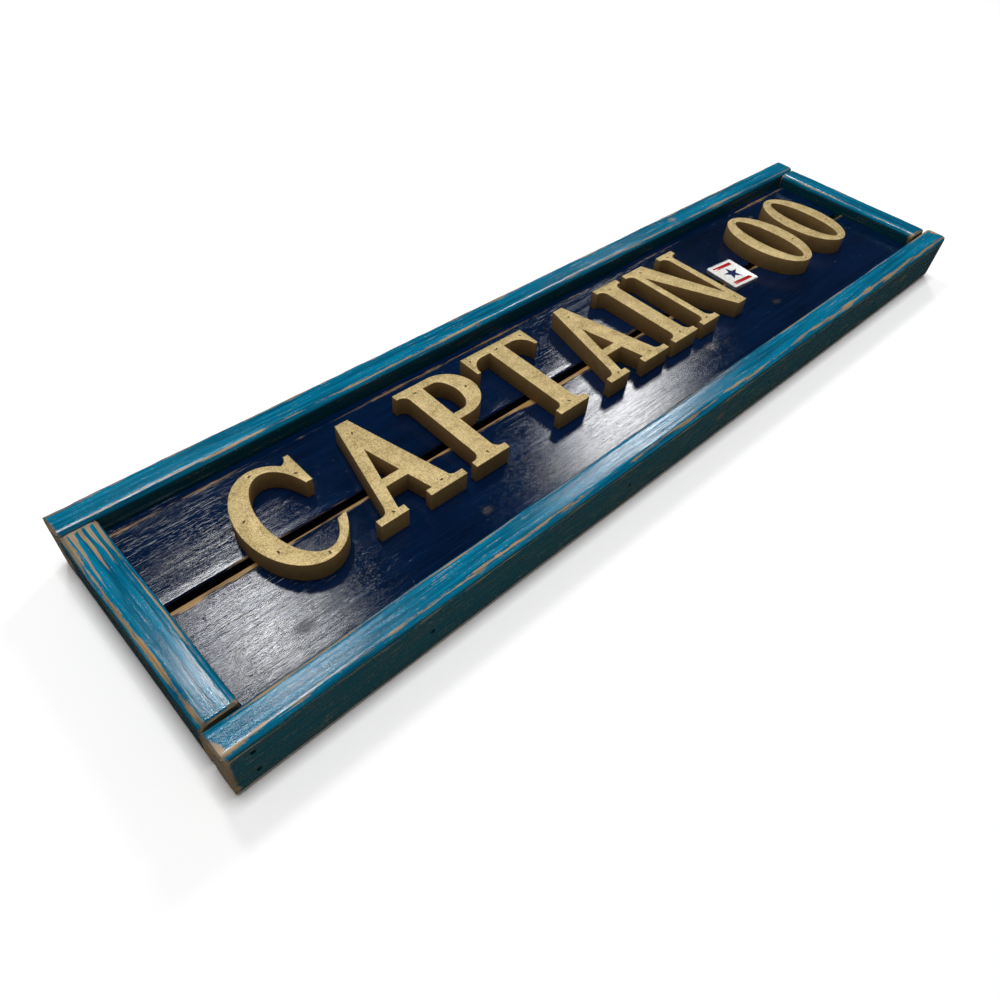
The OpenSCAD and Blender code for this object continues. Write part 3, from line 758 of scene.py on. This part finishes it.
def tile(name, width, height, thickness, corner, soft):
    """A plate with rounded corners and softened arrises, its underside on z = 0."""
    bpy.ops.object.select_all(action="DESELECT")
    bpy.ops.mesh.primitive_cube_add(size=1, location=(0, 0, thickness / 2), scale=(width, height, thickness))
    piece = start_piece(name)
    bpy.ops.object.mode_set(mode="EDIT")
    pick("edges", runs_along(2, 0.5 * thickness))
    bpy.ops.mesh.bevel(offset=corner, segments=6, affect="EDGES")
    pick("edges", lambda edge: abs(edge.verts[0].co.z - edge.verts[1].co.z) < 1e-6)
    bpy.ops.mesh.bevel(offset=soft, segments=3, affect="EDGES")
    bpy.ops.object.mode_set(mode="OBJECT")
    return piece


def sunk_tray(piece, rim, depth):
    """Sink the top of a tile inside a raised rim."""
    bpy.ops.object.mode_set(mode="EDIT")
    top = max(vertex.co.z for vertex in piece.data.vertices)
    pick("faces", lambda face: face.normal.z > 0.99 and face.calc_center_median().z > top - 1e-6)
    bpy.ops.mesh.inset(thickness=rim)
    bpy.ops.transform.translate(value=(0, 0, -depth))
    bpy.ops.object.mode_set(mode="OBJECT")


def enamel(name, shade, rough):
    material, shader, place = new_material(name, Specular_IOR_Level=0.5, Coat_Weight=0.5, Coat_Roughness=0.06)
    ripple = place.scaled((0.5, 0.5, 0.5)).noise(2.0)
    crumb = place.scaled((2.5, 2.5, 2.5)).noise(3.0, 0.6)
    worn = tuple(0.72 * v for v in shade[:3]) + (1.0,)
    skin = (crumb * 0.6 + ripple * 0.4).rise(0.62, 0.42).blend(worn, shade)
    wire(shader, Base_Color=skin, Roughness=rough + 0.15 * crumb,
         Normal=(ripple + 0.2 * crumb).dents(0.15, 0.0004))
    return material


def plated_metal(name, shade, rough, metallic=1.0, tarnished=0.45):
    material, shader, place = new_material(name, Metallic=metallic)
    cloudy = place.scaled((0.35, 0.35, 0.35)).noise(3.0)
    fine = place.scaled((2.2, 2.2, 2.2)).noise(3.0, 0.65)
    tarnish = tuple(tarnished * v for v in shade[:3]) + (1.0,)
    skin = (cloudy * 0.6 + fine * 0.4).rise(0.62, 0.42).blend(tarnish, shade)
    wire(shader, Base_Color=skin, Roughness=rough + 0.25 * fine, Normal=fine.dents(0.25, 0.0002))
    return material


white_enamel = enamel("white_enamel", colour(238, 238, 234), 0.12)
nickel = plated_metal("nickel", colour(196, 196, 198), 0.3, 0.55, 0.7)
face_z = face_low.z
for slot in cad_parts["badge_base"].material_slots:
    slot.material = nickel

plate = tile("badge_plate", TILE_W, TILE_H, (face_high - face_low).z, TILE_CORNER, TILE_SOFT)
sunk_tray(plate, RIM_W, TRAY_DEPTH)
tilt_into_place(plate, face_z)
finish_piece(plate, nickel, "badge_enamel", "badge_face")
plate.data.materials.append(white_enamel)
for face in plate.data.polygons:
    if face.normal.z > 0.99 and face.area > 1e-4:
        face.material_index = 1

ENAMEL_Z = face_high.z - 0.27 * MM
CELL_T = 0.24 * MM
STAR_TIP_R = 7.6 * MM
STAR_INNER_R = 3.0 * MM
bpy.ops.object.select_all(action="DESELECT")
bpy.ops.mesh.primitive_circle_add(vertices=10, radius=STAR_TIP_R, fill_type="NGON", location=(0, 0, 0))
star = start_piece("badge_star")
for number, vertex in enumerate(star.data.vertices):
    reach = STAR_TIP_R if number % 2 == 0 else STAR_INNER_R
    angle = math.radians(90 + 36 * number)
    vertex.co = (reach * math.cos(angle), reach * math.sin(angle), 0)
bpy.ops.object.mode_set(mode="EDIT")
bpy.ops.mesh.select_all(action="SELECT")
bpy.ops.mesh.normals_make_consistent(inside=False)
bpy.ops.mesh.extrude_region_move(TRANSFORM_OT_translate={"value": (0, 0, CELL_T)})
bpy.ops.mesh.select_all(action="SELECT")
bpy.ops.mesh.normals_make_consistent(inside=False)
bpy.ops.object.mode_set(mode="OBJECT")
tilt_into_place(star, ENAMEL_Z)
finish_piece(star, enamel("navy_enamel", colour(16, 34, 86), 0.1), "badge_enamel", "badge_face")

red_enamel = enamel("red_enamel", colour(176, 28, 34), 0.1)
BAR_L = 20 * MM
BAR_W = 3.2 * MM
BAR_CORNER = 0.5 * MM
BAR_SOFT = 0.06 * MM
BAR_OFFSET = 10.6 * MM
for name, offset in (("badge_bar_upper", BAR_OFFSET), ("badge_bar_lower", -BAR_OFFSET)):
    bar = tile(name, BAR_L, BAR_W, CELL_T, BAR_CORNER, BAR_SOFT)
    for vertex in bar.data.vertices:
        vertex.co.y += offset
    tilt_into_place(bar, ENAMEL_Z)
    finish_piece(bar, red_enamel, "badge_enamel", "badge_face")

# ---------------------------------------------------------------------------------------------
# The nails and brads: plain flat-headed wire, dulled dark. They are driven through the rails, the
# planks and the letters, with their heads sunk below the surface.
# ---------------------------------------------------------------------------------------------
dark_wire = plated_metal("dark_wire", colour(92, 84, 76), 0.4)
for node in ("corner_nails", "plank_nails", "cleat_brads", "letter_brads"):
    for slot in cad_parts[node].material_slots:
        slot.material = dark_wire

# ---------------------------------------------------------------------------------------------
# The hangers: two brass-plated strips pressed with a row of teeth, each held by two small nails
# to the back of the upper plank.
# ---------------------------------------------------------------------------------------------
STRIP_ARRIS = 0.12 * MM
HEAD_ARRIS = 0.15 * MM
brass_plate = plated_metal("brass_plate", colour(206, 172, 104), 0.25, 0.85, 0.75)
for node in ("left_hanger", "right_hanger"):
    strip = softened_copy(node, STRIP_ARRIS, 2)
    strip.name = node + "_strip"
    finish_piece(strip, brass_plate, "hanger_metal", node, angle=40)
heads = softened_copy("hanger_nails", HEAD_ARRIS, 2)
heads.name = "hanger_nail_set"
finish_piece(heads, brass_plate, "hanger_metal", "hanger_nails", angle=40)

# ---------------------------------------------------------------------------------------------
# The floor and the lights: a plain pale floor, and three softboxes. Two small ones stand beyond the
# sign, where the varnish mirrors them as two patches, and a large one overhead lights everything.
# ---------------------------------------------------------------------------------------------
FLOOR_SIZE = 4.4
FLOOR_PALE = (0.95, 0.95, 0.95, 1)
bpy.ops.object.select_all(action="DESELECT")
bpy.ops.mesh.primitive_plane_add(size=FLOOR_SIZE, location=(0, 0, 0))
floor = start_piece("floor")
floor_material = new_material("floor_pale", Base_Color=FLOOR_PALE, Roughness=0.9, Specular_IOR_Level=0.1)[0]
floor.data.materials.append(floor_material)
floor.visible_glossy = False


def softbox(name, toward, start, distance, width, height, power):
    """An area light that stands at a distance from a place, in the direction toward, and faces it."""
    light = bpy.data.lights.new(name, "AREA")
    light.shape = "RECTANGLE"
    light.size = width
    light.size_y = height
    light.energy = power
    lamp = bpy.data.objects.new(name, light)
    direction = Vector(toward).normalized()
    turn = direction.to_track_quat("Z", "Y").to_matrix().to_4x4()
    lamp.matrix_world = Matrix.Translation(Vector(start) + direction * distance) @ turn
    bpy.context.scene.collection.objects.link(lamp)


softbox("window_left", toward=(0.19, 0.523, 0.829), start=(-0.306, -0.062, 0.03), distance=2.0,
        width=0.22, height=0.24, power=5.6)
softbox("window_right", toward=(0.655, 0.395, 0.652), start=(-0.025, -0.04, 0.03), distance=2.0,
        width=0.26, height=0.38, power=6)
softbox("overhead", toward=(0.0, 0.05, 1.0), start=(0, 0, 0), distance=4.0,
        width=1.2, height=1.2, power=118)

# the backdrop is bright to the camera, dim as a light, and almost dark in the varnish
BACKDROP_SEEN = 1.0
BACKDROP_LIGHT = 0.20
BACKDROP_IN_GLOSS = 0.02
world = bpy.data.worlds.new("studio")
bpy.context.scene.world = world
world.use_nodes = True
backdrop = world.node_tree.nodes["Background"]
backdrop.inputs["Color"].default_value = (1, 1, 1, 1)
ray = world.node_tree.nodes.new("ShaderNodeLightPath")
seen_directly = Flow(world.node_tree, ray.outputs["Is Camera Ray"])
seen_in_gloss = Flow(world.node_tree, ray.outputs["Is Glossy Ray"])
strength = (BACKDROP_LIGHT + (BACKDROP_SEEN - BACKDROP_LIGHT) * seen_directly
            - (BACKDROP_LIGHT - BACKDROP_IN_GLOSS) * seen_in_gloss)
world.node_tree.links.new(strength.socket, backdrop.inputs["Strength"])
